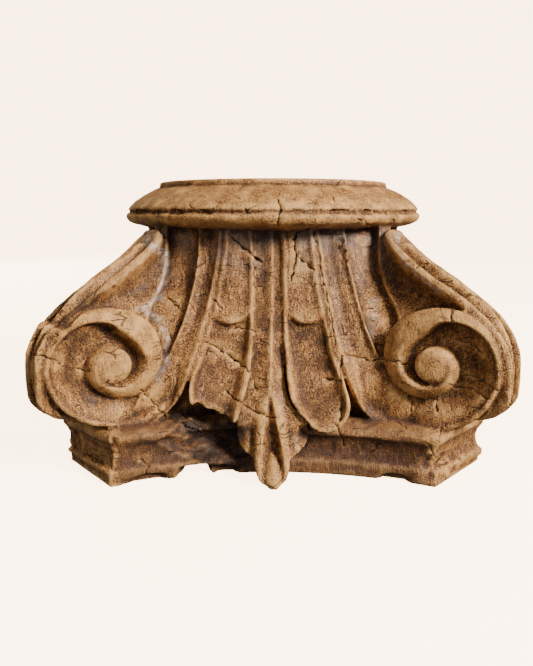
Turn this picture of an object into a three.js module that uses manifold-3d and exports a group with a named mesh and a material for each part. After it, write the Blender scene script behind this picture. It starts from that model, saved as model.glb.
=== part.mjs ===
// A carved hardwood column capital, turned over to serve as a column base. A turned disc is on top,
// a squared bell with cabled flutes flares below it, a scrolled volute stands on each corner, and a
// hollow-sided abacus with a leaf at the middle of each side lies at the foot. The whole is one block.
// Millimetres, +Z up, front towards -Y, origin at the middle of the underside.
import * as THREE from "three";
import { mergeVertices } from "three/addons/utils/BufferGeometryUtils.js";
import Module from "manifold-3d";

const wasm = await Module();
wasm.setup();

// Heights of the three storeys, from the ground up.
const abacusHeight = 46;
const bellHeight = 147;
const discHeight = 42;
const bellTop = abacusHeight + bellHeight;
const height = bellTop + discHeight;

// The turned disc.
const discRadius = 141.5;
const seatRadius = 109;
const seatFillet = 5;
const quirkDepth = 2.5;
const quirkAbove = 15;
const discSwell = 5.5;
const lipHeight = 8;
const discSegments = 32;

// How far a form is sunk into the one it stands on, where the joint is hidden.
const lap = 1;

// The bell, measured from the axis to the middle of a side.
const neckHalf = 117;
const footHalf = 152;
const floorDepth = 5;

// The abacus: half of it across the flats, half of a side between the cut corners, and the hollow.
const abacusHalf = 178;
const hornHalf = 125.5;
const sideHollow = 28;
const cavettoDepth = 5;

// The volutes. Reach and eye are measured from the axis along the diagonal.
const voluteRadius = 48;
const eyeReach = 204;
const eyeHeight = 93;
const eyeHalfWidth = 30;
const faceTaper = 0.384;
const channelDepth = 8;
const eyeRadius = 14;
const bandWall = 3;
const strapReach = 253.5;
const strapHalfWidth = 15;
const strapCrown = 13;
const strapBead = 2;
const strapRoot = 14;
const webHalfWidth = 11;

// The leaves.
const leafRoot = 14;
const fluteRimHeight = 5;
const tipCurlOut = 4;
const stalkRimHalf = 2.6;
const stalkLip = 1;
const stemRidgeHeight = 4;
const fleuronReach = 172;
const fleuronHalfWidth = 28;
const fleuronThickness = 24;
const fleuronLean = 15;
const splitDeepest = 8;

// The old losses: length of the biggest.
const lossLength = 30;

const QUARTER = Math.PI / 2;
const DIAGONAL = Math.SQRT1_2;
const UP = new THREE.Vector3(0, 0, 1);

// Step to either side, as a share of a line's length, for finding which way the line runs.
const NUDGE = 0.02;

// Smooth curve through [position, value] pairs, held level past both ends.
function track(pairs) {
  const at = pairs.map((pair) => pair[0]);
  const values = pairs.map((pair) => pair[1]);
  const slopes = at.map((_, i) => {
    const before = Math.max(i - 1, 0);
    const after = Math.min(i + 1, at.length - 1);
    return (values[after] - values[before]) / (at[after] - at[before]);
  });
  return (position) => {
    if (position <= at[0]) return values[0];
    if (position >= at[at.length - 1]) return values[values.length - 1];
    const i = at.findIndex((_, k) => position < at[k + 1]);
    const span = at[i + 1] - at[i];
    const s = (position - at[i]) / span;
    const rise = values[i + 1] - values[i];
    const curved = slopes[i] * span * s * (1 - s) ** 2 - slopes[i + 1] * span * s ** 2 * (1 - s);
    return values[i] + rise * s ** 2 * (3 - 2 * s) + curved;
  };
}

// A point of the front side, from its place across, its distance from the axis plane and its height.
const front = (across, out, z) => new THREE.Vector3(across, -out, z);

// A point of the front right corner, from its distance along the diagonal and off to its front side.
const corner = (along, off, z) =>
  new THREE.Vector3((along - off) * DIAGONAL, -(along + off) * DIAGONAL, z);

// Height on the bell, given as a share of it from the abacus up.
const onBell = (share) => abacusHeight + share * bellHeight;

// Smooth curve up the bell through [share of its height, value] pairs.
const bellTrack = (pairs) => track(pairs.map(([share, value]) => [onBell(share), value]));

// A ring right round the block, from the points of its front side.
function allSides(side) {
  return [0, 1, 2, 3].flatMap((quarter) =>
    side.map((point) => point.clone().applyAxisAngle(UP, quarter * QUARTER)),
  );
}

// Closed solid through rings of equally many points, with a fan at each end.
function loft(rings) {
  const count = rings[0].length;
  const points = rings.flat();
  const index = [];
  for (let r = 0; r + 1 < rings.length; r += 1) {
    for (let i = 0; i < count; i += 1) {
      const a = r * count + i;
      const b = r * count + ((i + 1) % count);
      index.push(a, b, b + count, a, b + count, a + count);
    }
  }
  for (const end of [0, rings.length - 1]) {
    const middle = new THREE.Vector3();
    rings[end].forEach((point) => middle.addScaledVector(point, 1 / count));
    points.push(middle);
    for (let i = 0; i < count; i += 1) {
      const pair = [end * count + i, end * count + ((i + 1) % count)];
      if (end === 0) pair.reverse();
      index.push(pair[0], pair[1], points.length - 1);
    }
  }
  const geometry = new THREE.BufferGeometry().setFromPoints(points);
  geometry.setIndex(index);
  return geometry;
}

// Six times the volume inside a closed mesh, negative where its faces point in.
function signedVolume(position, index) {
  const [a, b, c] = [new THREE.Vector3(), new THREE.Vector3(), new THREE.Vector3()];
  let sum = 0;
  for (let i = 0; i < index.length; i += 3) {
    a.fromBufferAttribute(position, index[i]);
    b.fromBufferAttribute(position, index[i + 1]);
    c.fromBufferAttribute(position, index[i + 2]);
    sum += a.dot(b.cross(c));
  }
  return sum;
}

// Solid for joining and cutting, with its faces turned outwards.
function toSolid(geometry) {
  const bare = geometry.clone();
  bare.deleteAttribute("normal");
  bare.deleteAttribute("uv");
  const merged = mergeVertices(bare, 1e-3);
  const index = Array.from(merged.index.array);
  if (signedVolume(merged.attributes.position, index) < 0) index.reverse();
  return new wasm.Manifold(
    new wasm.Mesh({
      numProp: 3,
      vertProperties: new Float32Array(merged.attributes.position.array),
      triVerts: new Uint32Array(index),
    }),
  );
}

// The disc: a flat seat with a fillet, a swelling slope, a fine quirk and a rounded lip below it.
function disc() {
  const quirk = bellTop + quirkAbove;
  const shoulder = height - seatFillet;
  const slopeFoot = discRadius - quirkDepth;
  const slopeHead = seatRadius + seatFillet;
  const profile = [
    [0, bellTop - lap],
    [neckHalf - 2 * lap, bellTop - lap],
    [discRadius - lipHeight, bellTop + 0.4 * lipHeight],
    [discRadius, bellTop + lipHeight],
    [discRadius, quirk - lap],
    [slopeFoot, quirk],
    [(slopeFoot + slopeHead) / 2 + discSwell, (quirk + shoulder) / 2],
    [slopeHead, shoulder],
    [seatRadius, shoulder],
    [seatRadius, height],
    [0, height],
  ];
  const lathe = new THREE.LatheGeometry(
    profile.map(([r, z]) => new THREE.Vector2(r, z)),
    discSegments,
  );
  return lathe.rotateX(QUARTER);
}

// Distance of the bell's carved surface from the axis plane. Its sides bow outwards at the neck and
// are hollow at the foot, in step with the abacus.
const bellFlare = bellTrack([[0, 1], [0.14, 0.885], [0.3, 0.63], [0.5, 0.345], [0.75, 0.13], [1, 0]]);
const bellMiddle = (z) => THREE.MathUtils.lerp(neckHalf, footHalf, bellFlare(z));
const bellBow = bellTrack([[0, 0.955], [0.3, 0.56], [0.5, 0.34], [0.72, -0.675], [1, -1.24]]);
const bellOut = (across, z) => bellMiddle(z) + bellBow(z) * sideHollow * (across / hornHalf) ** 2;

// Distance of a volute's front face from the axis plane, continued across the side.
const faceSlope = (1 - faceTaper) / (1 + faceTaper);
const faceMiddle = ((eyeHalfWidth + faceTaper * eyeReach) * Math.SQRT2) / (1 + faceTaper);
const faceOut = (across) => faceMiddle + faceSlope * across;

// Distance of the stalk from the axis plane: it leaves the bell on its way down into the volute.
function stalkOut(across, z) {
  const onTheBell = bellOut(across, z);
  const rise = THREE.MathUtils.smoothstep((z - abacusHeight) / bellHeight, -0.05, 0.45);
  return THREE.MathUtils.lerp(Math.min(faceOut(across), onTheBell), onTheBell, rise);
}

// Lines across a side at heights given as shares of the bell, as shares of a horn's half width.
const lane = (pairs) => bellTrack(pairs.map(([share, across]) => [share, across * hornHalf]));
const stemEdge = lane([[0, 0.21], [0.12, 0.135], [0.3, 0.1], [0.6, 0.083], [1, 0.083]]);
const fluteInner = lane([
  [-0.045, 0.3],
  [-0.02, 0.235],
  [0.07, 0.19],
  [0.2, 0.16],
  [0.45, 0.125],
  [1, 0.097],
]);
const fluteOuter = lane([
  [-0.045, 0.33],
  [-0.02, 0.4],
  [0.07, 0.455],
  [0.2, 0.45],
  [0.35, 0.415],
  [0.5, 0.375],
  [0.65, 0.335],
  [1, 0.27],
]);
const stalkOuter = lane([
  [-0.045, 0.96],
  [-0.03, 0.83],
  [0, 0.7],
  [0.08, 0.575],
  [0.19, 0.495],
  [0.35, 0.44],
  [0.5, 0.39],
  [0.65, 0.35],
  [1, 0.29],
]);
const stalkInner = lane([[0.36, 0.63], [0.5, 0.58], [0.65, 0.53], [0.85, 0.49], [1, 0.47]]);

// Where the bell runs into the fin on a corner, as a share of the bell's own half width.
const webFootShare = bellTrack([[0, 0.695], [0.55, 0.785], [0.7, 0.755], [1, 0.745]]);

// The plain body under the leaves. Its floor is sunk below the flutes and below the corner panels.
function bellCore() {
  const rows = [-0.1, 0.1, 0.3, 0.55, 1.03];
  return loft(
    rows.map((share) => {
      const z = onBell(share);
      const edge = fluteOuter(Math.max(z, onBell(0.055)));
      const foot = webFootShare(z) * bellMiddle(z);
      const half = [
        [edge, bellOut(edge, z) - floorDepth],
        [edge + floorDepth, stalkOut(edge, z) - floorDepth],
        [foot, stalkOut(foot, z) - channelDepth],
      ];
      const side = [
        ...half.map(([across, out]) => front(-across, out, z)).reverse(),
        ...half.map(([across, out]) => front(across, out, z)),
      ];
      return allSides(side);
    }),
  );
}

// The abacus: concave sides, cut corners, a cavetto between two fillets and a worn shoulder on top.
function abacus() {
  const cuts = 6;
  const rows = [
    [0, 0],
    [0.25, 0],
    [0.28, 0.5],
    [0.46, 1],
    [0.7, 0.45],
    [0.72, 0.05],
    [0.83, 0.6],
    [0.96, 2.8],
  ];
  return loft(
    rows.map(([rise, depth]) => {
      const z = rise * abacusHeight;
      const inset = depth * cavettoDepth;
      const side = [];
      for (let i = 0; i <= cuts; i += 1) {
        const share = (2 * i) / cuts - 1;
        const out = abacusHalf - sideHollow * (1 - share ** 2) - inset;
        side.push(front(share * (hornHalf - inset * 0.4), out, z));
      }
      return allSides(side);
    }),
  );
}

// Half width of a volute's face off the diagonal, at a distance along the diagonal.
const faceOff = (along) => eyeHalfWidth - faceTaper * (along - eyeReach);

// A point of a volute's right front face, in polar form about its eye and set back from the face.
function onFace(radius, angle, setBack) {
  const turn = THREE.MathUtils.degToRad(angle);
  const along = eyeReach + (radius * Math.cos(turn)) / Math.hypot(1, faceTaper);
  return corner(along, faceOff(along) - setBack, eyeHeight + radius * Math.sin(turn));
}

// Radius of the scroll's crest and of its outer edge, in shares of the volute's radius, by turn in
// degrees, and how far that edge lies behind the face, in shares of the channel's depth.
const scrollCrest = track([
  [235, 1.2],
  [270, 1.085],
  [360, 0.94],
  [450, 0.72],
  [540, 0.57],
  [630, 0.385],
  [720, 0.345],
]);
const scrollEdge = track([
  [235, 1.27],
  [270, 1.145],
  [360, 1.0],
  [410, 0.955],
  [460, 0.93],
  [510, 1.0],
  [545, 0.94],
  [585, 0.77],
  [617, 0.58],
  [650, 0.485],
  [720, 0.5],
]);
const scrollEdgeDrop = track([
  [235, 0.13],
  [380, 0.19],
  [450, 0.62],
  [540, 1.12],
  [620, 0.88],
  [720, 0.75],
]);

// The scroll's raised band: its crest, its outer slope and the wall down to the channel inside it.
function scrollBand() {
  const first = 262;
  const last = 720;
  const steps = 14;
  const rings = [];
  for (let i = 0; i <= steps; i += 1) {
    const angle = THREE.MathUtils.lerp(first, last, i / steps);
    const crest = scrollCrest(angle) * voluteRadius;
    const edge = scrollEdge(angle) * voluteRadius;
    rings.push([
      onFace(edge, angle, 1.75 * channelDepth),
      onFace(edge, angle, scrollEdgeDrop(angle) * channelDepth),
      onFace(crest, angle, 0),
      onFace(crest - bandWall, angle, 1.5 * channelDepth),
    ]);
  }
  return loft(rings);
}

// The body of a volute between its two channel floors.
function scrollDrum() {
  const sides = 14;
  const near = Array.from({ length: sides }, (_, i) =>
    onFace(0.96 * voluteRadius, (360 * (i + 0.5)) / sides, channelDepth),
  );
  return loft([near, near.map((point) => new THREE.Vector3(-point.y, -point.x, point.z))]);
}

// The round eye of a scroll.
function scrollEye() {
  const sides = 8;
  const ring = (radius, setBack) =>
    Array.from({ length: sides }, (_, i) => onFace(radius, (360 * i) / sides, setBack));
  return loft([ring(eyeRadius, 1.5 * channelDepth), ring(0.9 * eyeRadius, 0)]);
}

// Line of the strap's ridge over a volute: distance along the diagonal by share of its length.
const strapAlong = track([
  [0, 0.555],
  [0.12, 0.66],
  [0.25, 0.75],
  [0.4, 0.855],
  [0.55, 0.945],
  [0.68, 0.99],
  [0.8, 1.0],
  [0.9, 0.985],
  [1, 0.935],
]);
const strapRise = track([
  [0, 0.99],
  [0.12, 0.89],
  [0.25, 0.815],
  [0.4, 0.7],
  [0.55, 0.55],
  [0.68, 0.41],
  [0.8, 0.26],
  [0.9, 0.15],
  [1, 0.05],
]);
const strapWidth = track([[0, 0.45], [0.15, 0.85], [0.4, 1], [0.6, 0.8], [0.75, 0.6], [1, 0.5]]);
const strapDrop = track([[0, 0.23], [0.12, 0.7], [0.3, 1], [0.5, 0.77], [0.65, 0.38], [1, 0.23]]);

// The leaf-like strap over a volute: a broad ridge between two beads.
function strap() {
  const steps = 7;
  const rings = [];
  for (let i = 0; i <= steps; i += 1) {
    const share = i / steps;
    const here = new THREE.Vector2(strapAlong(share) * strapReach, onBell(strapRise(share)));
    const near = Math.min(share + NUDGE, 1);
    const far = Math.max(share - NUDGE, 0);
    const heading = new THREE.Vector2(
      (strapAlong(near) - strapAlong(far)) * strapReach,
      onBell(strapRise(near)) - onBell(strapRise(far)),
    ).normalize();
    const outward = new THREE.Vector2(-heading.y, heading.x);
    const half = strapWidth(share) * strapHalfWidth;
    const edge = -strapDrop(share) * strapCrown;
    const section = [
      [-1, edge],
      [-0.75, edge + strapBead],
      [-0.5, edge - 0.5 * strapBead],
      [0, 0],
      [0.5, edge - 0.5 * strapBead],
      [0.75, edge + strapBead],
      [1, edge],
      [0, edge - strapRoot],
    ];
    rings.push(
      section.map(([off, rise]) =>
        corner(here.x + outward.x * rise, off * half, here.y + outward.y * rise),
      ),
    );
  }
  return loft(rings);
}

// The fin that carries the strap, thinner where it leaves the bell.
function web() {
  const outline = [
    [0.42, 0.99],
    [0.55, 0.96],
    [0.66, 0.83],
    [0.75, 0.73],
    [0.855, 0.61],
    [0.92, 0.5],
    [0.9, 0.2],
    [0.42, 0.1],
  ];
  const face = (sign) =>
    outline.map(([along, rise]) =>
      corner(along * strapReach, sign * webHalfWidth * (0.4 + 0.7 * along), onBell(rise)),
    );
  return loft([face(1), face(-1)]);
}

// How far the flutes' tips curl forward of the bell, by share of its height.
const tipCurl = bellTrack([[-0.05, 1], [0.1, 0.5], [0.3, 0]]);

// A cabled flute: two rims, a cable that fills its upper part, and a spoon that hangs over the foot.
function cabledFlute() {
  const cableEnd = 0.515;
  const rows = [1.04, cableEnd + 0.04, cableEnd, 0.25, 0.1, 0, -0.04];
  return loft(
    rows.map((share) => {
      const z = onBell(share);
      const inner = fluteInner(z);
      const outer = fluteOuter(z);
      const width = outer - inner;
      const cabled = share > cableEnd;
      const closing = THREE.MathUtils.smoothstep(share, -0.06, 0.12);
      const rim = bellOut(inner, z) + tipCurl(z) * tipCurlOut;
      const wall = rim - (cabled ? 0.6 : closing) * fluteRimHeight;
      const middle = rim - (cabled ? 0.15 : 1.3 * closing) * fluteRimHeight;
      return [
        front(inner, rim, z),
        front(inner + 0.2 * width, wall, z),
        front(inner + 0.5 * width, middle, z),
        front(inner + 0.8 * width, wall, z),
        front(outer, rim - 0.1 * fluteRimHeight, z),
        front(inner + 0.85 * width, rim - leafRoot, z),
        front(inner + 0.15 * width, rim - leafRoot, z),
      ];
    }),
  );
}

// The stalk's outer rim, from the neck down the bell into the foot of the scroll.
function stalkRim() {
  const rows = [1.04, 0.7, 0.5, 0.3, 0.15, 0.06, 0, -0.03, -0.045];
  return loft(
    rows.map((share) => {
      const z = onBell(share);
      const across = stalkOuter(z);
      const out = stalkOut(across, z);
      const spread = stalkOuter(onBell(share - NUDGE)) - stalkOuter(onBell(share + NUDGE));
      const wide = stalkRimHalf * Math.hypot(1, spread / (2 * NUDGE * bellHeight));
      return [
        front(across - wide, out - leafRoot, z),
        front(across - 0.6 * wide, out + stalkLip, z),
        front(across + 0.6 * wide, out + 0.5 * stalkLip, z),
        front(across + 2 * wide, out - leafRoot, z),
      ];
    }),
  );
}

// The crest between the stalk and the plain panel next to the fin.
function stalkCrest() {
  const rows = [1.04, 0.65, 0.36];
  return loft(
    rows.map((share) => {
      const z = onBell(share);
      const across = stalkInner(z);
      const out = bellOut(across, z);
      return [
        front(across - 2.3 * stalkRimHalf, out - 1.6 * floorDepth, z),
        front(across, out + 0.5 * stalkLip, z),
        front(across + 1.3 * stalkRimHalf, out - 1.6 * floorDepth, z),
      ];
    }),
  );
}

// The stem up the middle of a side: a plain arris between two flutes.
function stem() {
  const rows = [1.04, 0.6, 0.3, 0.12, -0.1];
  return loft(
    rows.map((share) => {
      const z = onBell(share);
      const half = stemEdge(z);
      const out = bellOut(0, z);
      return [
        front(-half, out - 0.5 * floorDepth, z),
        front(0, out + stemRidgeHeight, z),
        front(half, out - 0.5 * floorDepth, z),
        front(0, out - 1.2 * leafRoot, z),
      ];
    }),
  );
}

// The leaf at the foot of the stem: two shoulders, a split middle lobe and a bud in the split. All by
// share of the abacus's height.
const fleuronSide = track([
  [0, 0.3],
  [0.06, 0.44],
  [0.22, 0.52],
  [0.4, 0.56],
  [0.52, 0.78],
  [0.66, 1],
  [0.85, 0.98],
  [1.05, 0.66],
  [1.3, 0.45],
  [1.6, 0.42],
]);
const fleuronSetBack = track([[0, 0.07], [0.25, 0.2], [0.6, 0.47], [1, 1], [1.3, 1.47], [1.6, 1.9]]);
const fleuronLobe = track([[0, 0.5], [0.3, 0.55], [0.7, 0.42], [1.6, 0.35]]);
const splitDepth = track([[0, 0], [0.25, 0.12], [0.42, 0.38], [0.5, 1], [1, 0.88], [1.6, 0]]);
function fleuron() {
  const rows = [0, 0.1, 0.42, 0.5, 0.66, 0.85, 1.05, 1.6];
  return loft(
    rows.map((share) => {
      const z = share * abacusHeight;
      const half = fleuronSide(share) * fleuronHalfWidth;
      const out = fleuronReach - fleuronSetBack(share) * fleuronLean;
      const back = out - fleuronThickness;
      const shoulder = out - fleuronThickness / 3;
      const lobe = fleuronLobe(share) * half;
      return [
        front(-half, back, z),
        front(-half, shoulder, z),
        front(-lobe, out, z),
        front(0, out - splitDepth(share) * splitDeepest, z),
        front(lobe, out, z),
        front(half, shoulder, z),
        front(half, back, z),
      ];
    }),
  );
}

// A lump to take away where the old block has lost a piece. Its place across is a share of a horn's
// half width, its height a share of the abacus's, and its half sizes are shares of the longest loss.
function chip(across, out, rise, shares, turn) {
  const lump = new THREE.IcosahedronGeometry(lossLength, 0).rotateY(turn).scale(...shares);
  return lump.translate(across * hornHalf, -out, rise * abacusHeight);
}

const mirrored = (geometry) => geometry.clone().scale(-1, 1, 1);
const turned = (geometry, side) => geometry.clone().rotateZ(side * QUARTER);

const halfSide = [cabledFlute(), stalkRim(), stalkCrest(), scrollBand(), scrollEye()];
const wholeSide = [stem(), fleuron(), scrollDrum(), web(), strap()];
const oneSide = [...halfSide, ...halfSide.map(mirrored), ...wholeSide];
const pieces = [disc(), bellCore(), abacus()];
for (let side = 0; side < 4; side += 1) {
  pieces.push(...oneSide.map((geometry) => turned(geometry, side)));
}
let block = pieces.map(toSolid).reduce((whole, piece) => whole.add(piece));

// Old losses: the tip of the front left flute, and the lower edge of the abacus beside it.
const losses = [
  chip(-0.35, footHalf + 0.3 * lossLength, 0.8, [0.97, 0.57, 0.5], 0.5),
  chip(-0.41, abacusHalf - 0.73 * lossLength, 0.43, [1, 0.37, 0.4], 0.2),
  chip(-0.52, abacusHalf - 0.53 * lossLength, 0, [0.5, 0.47, 0.33], 0.2),
];
for (const loss of losses) block = block.subtract(toSolid(loss));

const mesh = block.getMesh();
const geometry = new THREE.BufferGeometry();
geometry.setAttribute("position", new THREE.BufferAttribute(new Float32Array(mesh.vertProperties), 3));
geometry.setIndex(new THREE.BufferAttribute(new Uint32Array(mesh.triVerts), 1));
geometry.computeVertexNormals();

const waxedTeak = new THREE.MeshStandardMaterial({ color: 0x8a5f38, roughness: 0.6, metalness: 0 });
const capital = new THREE.Mesh(geometry, waxedTeak);
capital.name = "carved_capital";

const columnBase = new THREE.Group();
columnBase.add(capital);

export default columnBase;
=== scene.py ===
import math

import bmesh
import bpy
import numpy as np
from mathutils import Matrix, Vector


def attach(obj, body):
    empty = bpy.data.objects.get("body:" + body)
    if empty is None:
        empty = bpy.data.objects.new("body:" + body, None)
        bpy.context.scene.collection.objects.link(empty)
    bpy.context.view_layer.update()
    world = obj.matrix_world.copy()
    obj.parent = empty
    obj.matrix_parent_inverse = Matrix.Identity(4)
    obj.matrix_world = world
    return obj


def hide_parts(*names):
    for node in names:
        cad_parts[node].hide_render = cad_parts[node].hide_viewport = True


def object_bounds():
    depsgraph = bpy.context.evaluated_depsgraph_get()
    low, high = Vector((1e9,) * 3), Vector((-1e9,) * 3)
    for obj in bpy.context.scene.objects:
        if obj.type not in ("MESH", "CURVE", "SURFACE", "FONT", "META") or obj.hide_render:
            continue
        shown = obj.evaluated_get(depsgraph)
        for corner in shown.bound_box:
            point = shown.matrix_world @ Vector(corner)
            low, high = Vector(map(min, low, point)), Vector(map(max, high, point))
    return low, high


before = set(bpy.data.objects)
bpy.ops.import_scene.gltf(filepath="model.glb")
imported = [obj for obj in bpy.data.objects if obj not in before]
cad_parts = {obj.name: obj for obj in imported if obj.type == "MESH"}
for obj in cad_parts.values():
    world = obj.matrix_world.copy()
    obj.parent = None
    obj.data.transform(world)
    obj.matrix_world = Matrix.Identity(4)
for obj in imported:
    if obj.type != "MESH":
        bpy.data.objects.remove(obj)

cad_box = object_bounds()

# The camera
# The photograph looks down a little on one side of the block, from about 0.6 m, with the block's
# axis just right of the middle of the picture and the horizon above it.
PHOTO_WIDTH = 533
FOCAL_PIXELS = 610.0
AXIS_PIXEL = 273.0
HORIZON_PIXELS = 122.0
CAMERA_PLACE = (0.0, -0.614, 0.2089)
CAMERA_DROP = math.atan2(HORIZON_PIXELS, FOCAL_PIXELS)

lens = bpy.data.cameras.new("photo_camera")
lens.sensor_fit = "HORIZONTAL"
lens.sensor_width = 36.0
lens.lens = lens.sensor_width * FOCAL_PIXELS / PHOTO_WIDTH
lens.shift_x = (PHOTO_WIDTH / 2 - AXIS_PIXEL) / PHOTO_WIDTH
camera = bpy.data.objects.new("photo_camera", lens)
camera.location = CAMERA_PLACE
camera.rotation_euler = (math.pi / 2 - CAMERA_DROP, 0.0, 0.0)
bpy.context.collection.objects.link(camera)
bpy.context.scene.camera = camera

# The disc
# A turned disc carries the column or whatever stands on the block. It is cut from the same wood, with
# a flat seat, a low fillet, a swelling slope, a fine quirk and a rounded lip under it. Sizes in mm.
TOP = 235.0
LIP = 208.6
DISC_PROFILE = [
    (0, 190), (113, 190), (117, 193), (125, 194.6), (134, 196.8), (139, 199.2), (141.2, 202.4),
    (141.5, 205.4), (140.8, 206.4), (139.8, 207), (134.6, LIP), (139.6, 210.2), (137.6, 213.2),
    (131.6, 218.6), (124, 223.6), (117, 227.4), (112.4, 229.4), (109.6, 230), (109.2, 231), (109, 234.2),
    (108, TOP), (0, TOP),
]


def loft(grid):
    """Closed skin over a grid of points: rows along the path, each row once round the section."""
    rows, ring = grid.shape[:2]
    number = np.arange(rows * ring).reshape(rows, ring)
    here, there = number[:-1], number[1:]
    quads = np.stack([here, np.roll(here, -1, 1), np.roll(there, -1, 1), there], -1).reshape(-1, 4)
    return grid.reshape(-1, 3), quads.tolist() + [number[0][::-1].tolist(), number[-1].tolist()]


forms = []
turn = np.linspace(0, 2 * np.pi, 240, endpoint=False)
radius, level = np.array(DISC_PROFILE, float).T
ring_x = radius[:, None].clip(0.5) * np.cos(turn)
ring_y = radius[:, None].clip(0.5) * np.sin(turn)
forms.append(loft(np.stack([ring_x, ring_y, np.broadcast_to(level[:, None], ring_x.shape)], -1)))

# The bell
# The squared body under the disc flares down to the abacus. Each side has a stem up its middle and, past
# the flutes, a hollow stalk with a rim, then a crest and a plain panel next to the volute's fin.
FACE_START = 110.6
FACE_SLOPE = 0.445
FLUTE_BED = -10.0
RIM_PROUD = 1.4
CREST_PROUD = 2.2
PANEL_SUNK = -8.5


def curve(*pairs):
    """Smooth curve through (position, value) pairs: each stretch a cubic, held level past the ends."""
    at, value = np.array(pairs, float).T
    slope = np.gradient(value, at, edge_order=1)

    def read(position):
        p = np.clip(position, at[0], at[-1])
        i = np.clip(np.searchsorted(at, p, side="right") - 1, 0, len(at) - 2)
        span = at[i + 1] - at[i]
        s = (p - at[i]) / span
        start = value[i] * (1 + 2 * s) * (1 - s) ** 2 + slope[i] * span * s * (1 - s) ** 2
        return start + value[i + 1] * s**2 * (3 - 2 * s) + slope[i + 1] * span * s**2 * (s - 1)

    return read


flute_curl = curve((38, 6), (46, 5), (60, 3), (90, 1), (120, 0.3), (193, 0))
bell_middle = curve((36, 153), (46, 152), (66, 148), (90, 139), (120, 129), (156, 121.5), (193, 117))
bell_bow = curve((36, 0.0017), (46, 0.0017), (90, 0.001), (120, 0.0006), (152, -0.0012), (193, -0.0022))


def front(across, out, z):
    """Point of the front side from its place across, its distance from the axis plane, its height."""
    return np.stack(np.broadcast_arrays(across, -out, z), -1)


def quarter_turns(points, quarter):
    """The same points on another side: a quarter turn about the vertical axis for each side."""
    x, y, z = points[..., 0], points[..., 1], points[..., 2]
    c, s = [(1, 0), (0, 1), (-1, 0), (0, -1)][quarter % 4]
    return np.stack([c * x - s * y, s * x + c * y, z], -1)


def smooth(x, low, high):
    """Step from 0 at low to 1 at high, level at both ends."""
    s = np.clip((x - low) / (high - low), 0, 1)
    return s * s * (3 - 2 * s)


def bell_out(across, z):
    """Bell's distance from the axis plane: a trumpet whose sides bow by the square of the place."""
    return bell_middle(z) + bell_bow(z) * across**2


def stalk_out(across, z):
    """The stalk's distance: on the bell above, on the volute's front plane at its foot."""
    on_bell = bell_out(across, z)
    on_face = np.minimum(FACE_START + FACE_SLOPE * across, on_bell)
    return on_face + (on_bell - on_face) * smooth(z, 38, 112)


# Lines down each half of a side, as (height, place across), right and left halves of the front.
LINES = {
    "right": {
        "stem": curve((0, 5), (2, 8), (5, 10.8), (9, 12.8), (15, 13.8), (18.5, 14.4), (21, 19.5), (25, 25.5),
                      (30, 28.4), (40, 28.2), (45, 25.5), (52, 18.5), (60, 13.2), (73, 10), (90, 8),
                      (138, 6.4), (195, 5.4)),
        "flute_in": curve((38.5, 36), (40, 32.6), (42.5, 29.6), (46, 26.8), (52, 21), (60, 15.4), (69, 12.6),
                          (83, 10.6), (103, 9), (124, 8), (162, 7.2), (193, 6.4)),
        "flute_out": curve((38.5, 44), (40, 48.5), (42.5, 52.5), (47, 57), (54, 60.4), (62, 60.8), (73, 57.8),
                           (88, 52.6), (96, 50), (115, 46), (142, 40.4), (162, 36.6), (193, 33.6)),
        "rim": curve((36, 113), (39, 98), (43, 83), (47, 76.5), (54, 70.6), (62, 66), (69, 62.8), (80, 58.6),
                     (89, 55.4), (96, 52.6), (113, 48.2), (135, 43.6), (168, 38), (193, 34.8)),
        "crest": curve((90, 86), (103, 80.1), (115, 75.3), (140, 68.5), (170, 61.2), (193, 57.9)),
    },
    "left": {
        "stem": curve((0, 5), (2, 8), (5, 11), (9, 13.4), (15, 14.8), (18.5, 15.6), (21, 20.5), (25, 26.5),
                      (30, 29), (40, 29), (47, 28), (62, 22.5), (82, 17.6), (115, 15.6), (138, 14.6),
                      (195, 15)),
        "flute_in": curve((38.5, 38), (41, 33), (47, 29), (62, 23.5), (82, 18.4), (115, 16), (138, 14.8),
                          (170, 14.9), (193, 15.7)),
        "flute_out": curve((38.5, 42), (41, 48), (45, 55), (52, 61.5), (62, 66), (74, 66.5), (94, 60),
                           (111, 55.6), (135, 48.8), (170, 42.4), (193, 39.2)),
        "rim": curve((36, 113), (40, 106), (44, 97), (50, 87), (62, 76), (74, 70), (94, 62.5),
                     (111, 57.6), (135, 50.8), (170, 44.2), (193, 41)),
        "crest": curve((90, 86), (103, 80), (115, 74.6), (143, 66.2), (161, 62.8), (193, 60)),
    },
}
web_foot = curve((36, 118), (52, 113), (70, 105), (100, 101), (130, 100), (149, 92.5), (169, 88.5), (193, 88))


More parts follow.
